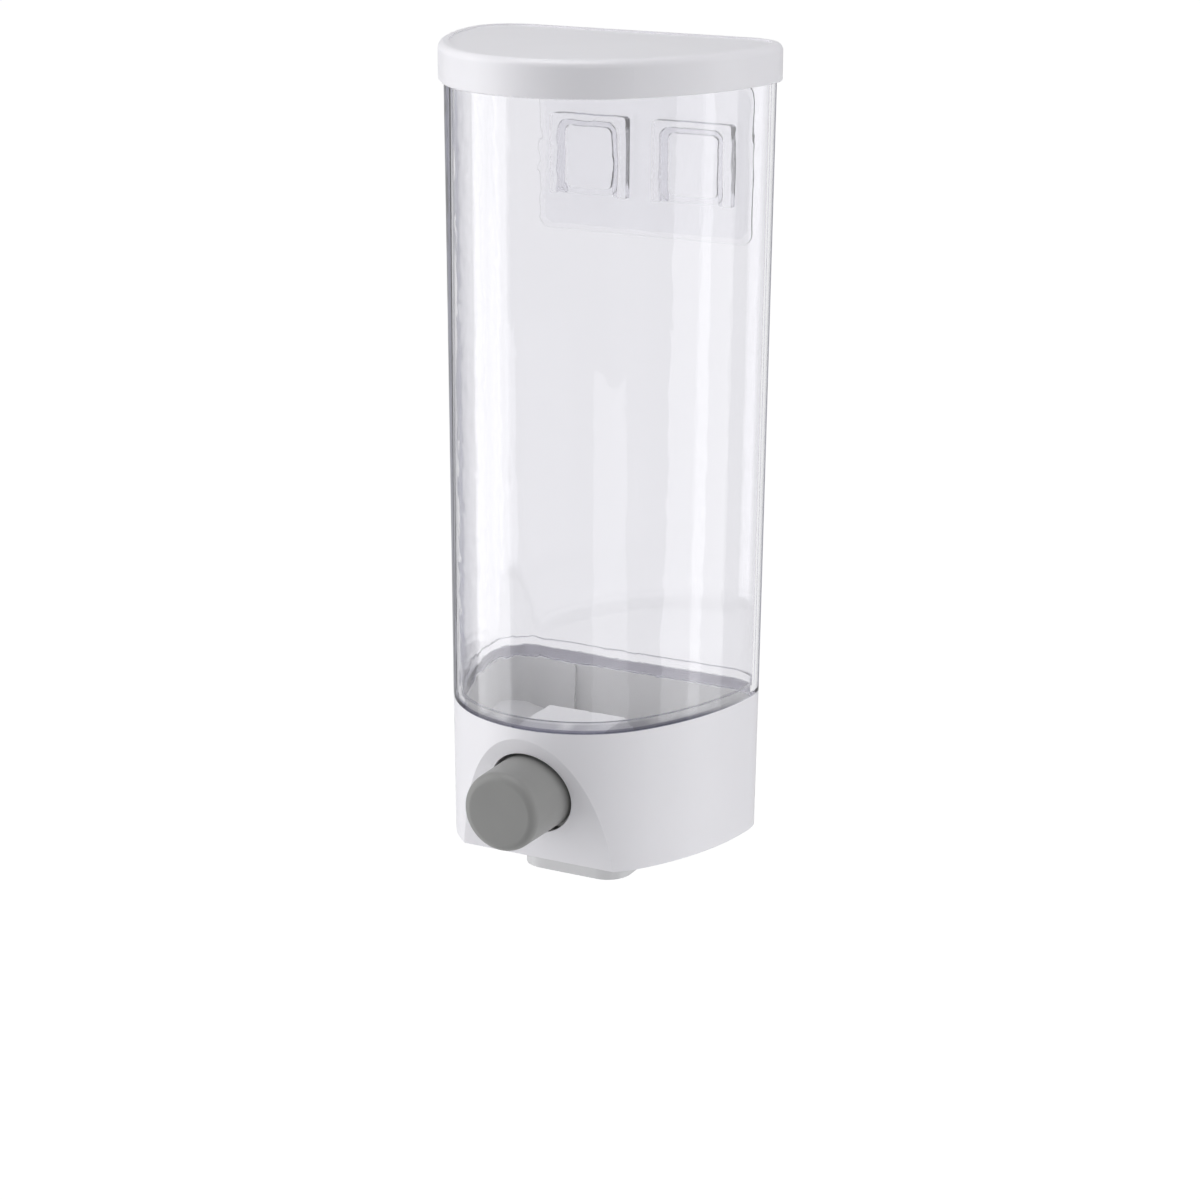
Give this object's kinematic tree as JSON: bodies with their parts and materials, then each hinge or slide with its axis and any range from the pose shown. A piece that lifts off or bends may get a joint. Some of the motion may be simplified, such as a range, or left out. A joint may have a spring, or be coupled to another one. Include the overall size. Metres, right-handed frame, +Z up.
{
  "type": "wall-mounted dry food dispenser",
  "caption": "Clear D-shaped jar with a lift-off lid, hung on a wall plate, over a base whose push button slides a sprung gate and lets grain fall from a spout.",
  "frame": {"origin": "centre of the back of the adhesive sheet, on the wall", "axes": "+Y into the wall, +Z up, +X to the right as seen from the front"},
  "size_m": [0.1194, 0.1098, 0.294],
  "materials": {
    "clear": "clear polished plastic",
    "white": "satin white moulded plastic",
    "button": "satin grey moulded plastic",
    "spout": "light grey moulded plastic",
    "gate": "natural low-friction plastic",
    "seal": "translucent silicone",
    "adhesive": "clear adhesive gel",
    "steel": "zinc-plated",
    "spring": "spring wire"
  },
  "bodies": {
    "wall_bracket": {"adhesive_sheet": "adhesive", "wall_plate": "clear"},
    "dispenser": {"jar": "clear", "base_housing": "white", "base_floor": "white", "floor_screws": "steel", "outlet_chute": "spout", "chute_screws": "steel", "hopper": "white", "return_spring": "spring"},
    "lid_cap": {"lid": "white", "lid_seal": "seal"},
    "plunger": {"button_cap": "button", "gate_slider": "gate", "button_screws": "steel"}
  },
  "joints": [
    {"name": "hang_slide", "type": "slide", "parent": "wall_bracket", "child": "dispenser", "axis": [0, 0, 1], "range_m": [0, 0.03]},
    {"name": "lid_lift", "type": "slide", "parent": "dispenser", "child": "lid_cap", "axis": [0, 0, 1], "range_m": [0, 0.06]},
    {"name": "button_press", "type": "slide", "parent": "dispenser", "child": "plunger", "axis": [0, 1, 0], "range_m": [0, 0.0175], "stiffness_N_per_m": 300, "springref_m": -0.012, "deforming": ["return_spring"]}
  ]
}
